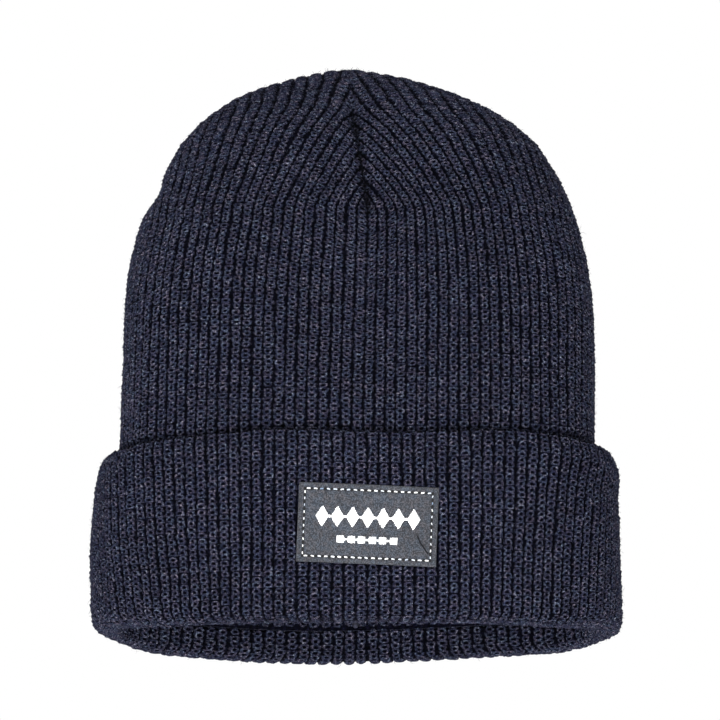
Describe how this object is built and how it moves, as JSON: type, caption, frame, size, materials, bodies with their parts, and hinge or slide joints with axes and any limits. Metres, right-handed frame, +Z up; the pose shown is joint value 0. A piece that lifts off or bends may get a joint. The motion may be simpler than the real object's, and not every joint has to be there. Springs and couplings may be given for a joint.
{
  "type": "knit beanie",
  "caption": "Rib-knit beanie with a deep turned-up cuff, a darted crown and a stitched woven label on the front.",
  "frame": {"origin": "middle of the head opening, in the plane of the folded rim", "axes": "+Z up through the crown, -Y is the front with the label, +X is the wearer's left"},
  "size_m": [0.2132, 0.114, 0.2315],
  "materials": {
    "rib_knit": "matt heathered navy yarn",
    "seam_thread": "matt twisted thread",
    "label_cloth": "grey plain weave",
    "white_thread": "twisted polyester",
    "care_cloth": "satin ribbon"
  },
  "bodies": {
    "crown": {"knit_body": "rib_knit", "back_seam": "seam_thread", "dart_seam_front": "seam_thread", "dart_seam_left": "seam_thread", "dart_seam_right": "seam_thread", "dart_seam_back": "seam_thread", "crown_tack": "seam_thread", "care_label_thread": "seam_thread"},
    "cuff": {"cuff_turn_up": "rib_knit", "cuff_seam": "seam_thread", "label_patch": "label_cloth", "label_top_thread": "white_thread", "label_bobbin_thread": "white_thread", "label_motif_upper": "white_thread", "label_motif_lower": "white_thread"},
    "care_flap": {"care_label": "care_cloth"}
  },
  "joints": [
    {"name": "cuff_tug", "type": "slide", "parent": "crown", "child": "cuff", "axis": [0, 0, -1], "range_m": [0, 0.02], "stiffness_N_per_m": 150, "springref_m": -0.004},
    {"name": "care_label_swing", "type": "hinge", "parent": "crown", "child": "care_flap", "pos_m": [0, 0.03644, 0.15], "axis": [-1, 0, 0], "range_deg": [0, 75]}
  ]
}
